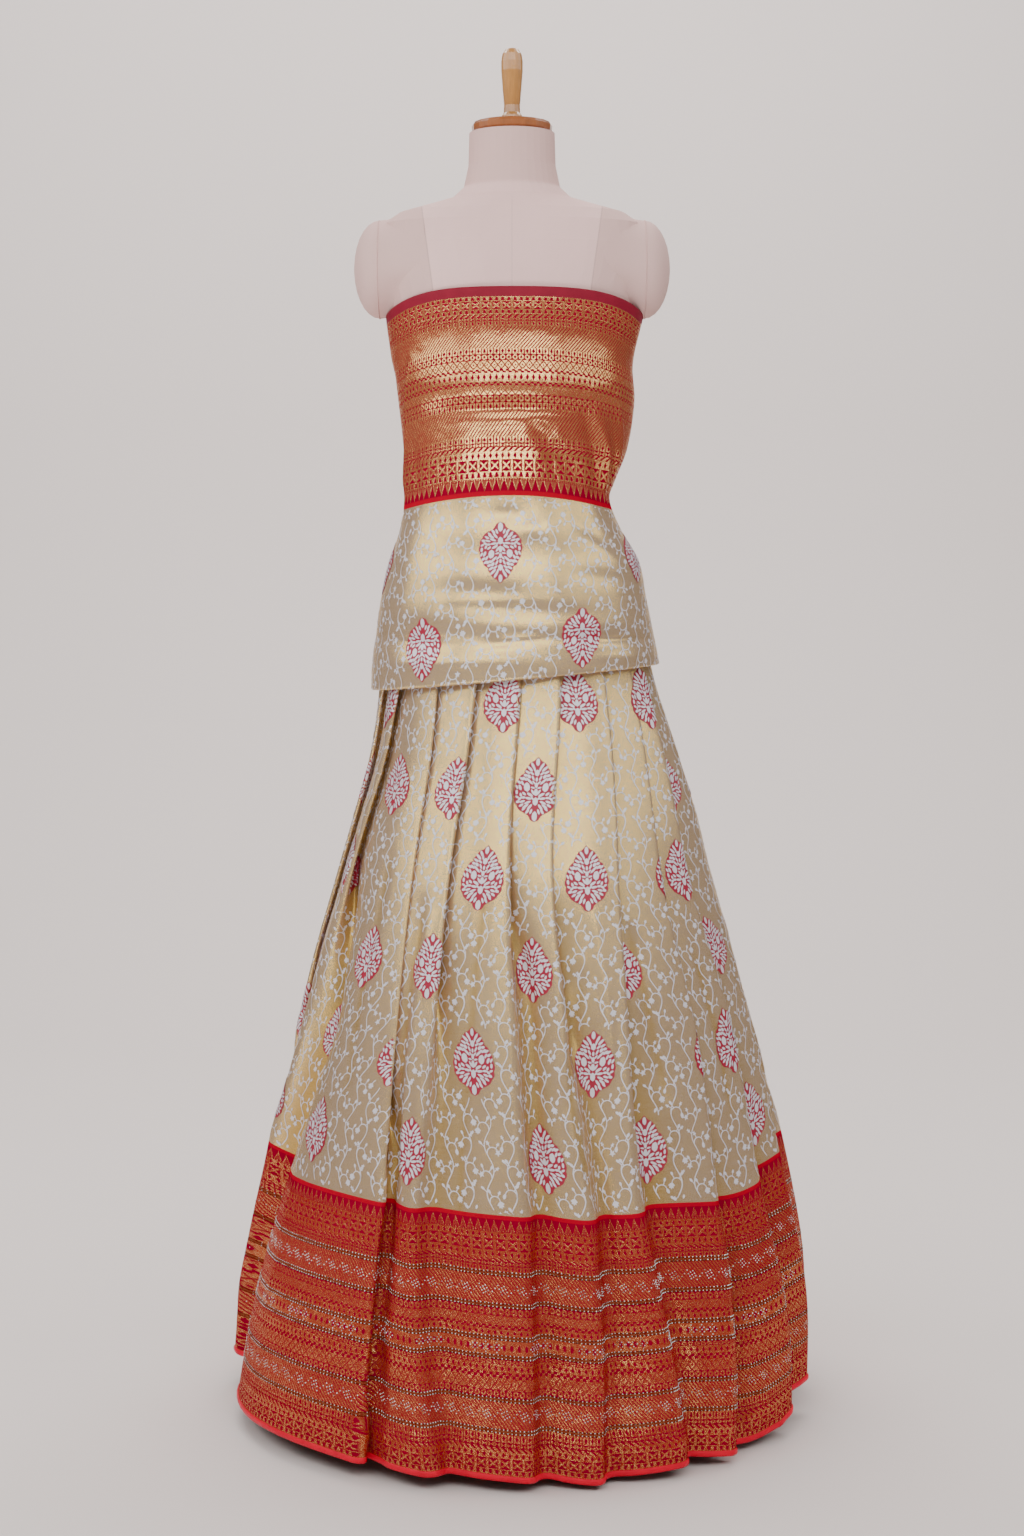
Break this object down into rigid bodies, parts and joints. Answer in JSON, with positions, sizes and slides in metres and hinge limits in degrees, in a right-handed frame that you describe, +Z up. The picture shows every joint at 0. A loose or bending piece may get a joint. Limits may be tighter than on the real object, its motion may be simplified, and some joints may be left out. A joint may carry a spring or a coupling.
{
  "type": "lehenga on dress form",
  "caption": "Silk brocade lehenga cloth, knife-pleated into a floor-length skirt and wrapped over hips and bust, standing on a limbless dress form.",
  "frame": {"origin": "middle of the base plate's underside, on the floor", "axes": "+Z up along the form's pole, -Y towards the front of the garment, +X to the viewer's right when it is seen from the front"},
  "size_m": [0.6833, 0.6761, 1.5873],
  "materials": {
    "brocade": "satin",
    "border_brocade": "satin",
    "satin_red": "satin",
    "selvage_maroon": "matte",
    "form_jersey": "matte",
    "varnished_wood": "gloss",
    "painted_metal": "satin"
  },
  "bodies": {
    "root": {"skirt_field": "brocade", "skirt_border": "border_brocade", "hem_piping": "satin_red", "wrap_selvage": "selvage_maroon", "wrap_border": "border_brocade", "wrap_field": "brocade", "form_torso": "form_jersey", "shoulder_cap_left": "form_jersey", "shoulder_cap_right": "form_jersey", "neck_cap": "varnished_wood", "handle": "varnished_wood", "pole": "painted_metal", "base_plate": "painted_metal"}
  },
  "joints": []
}
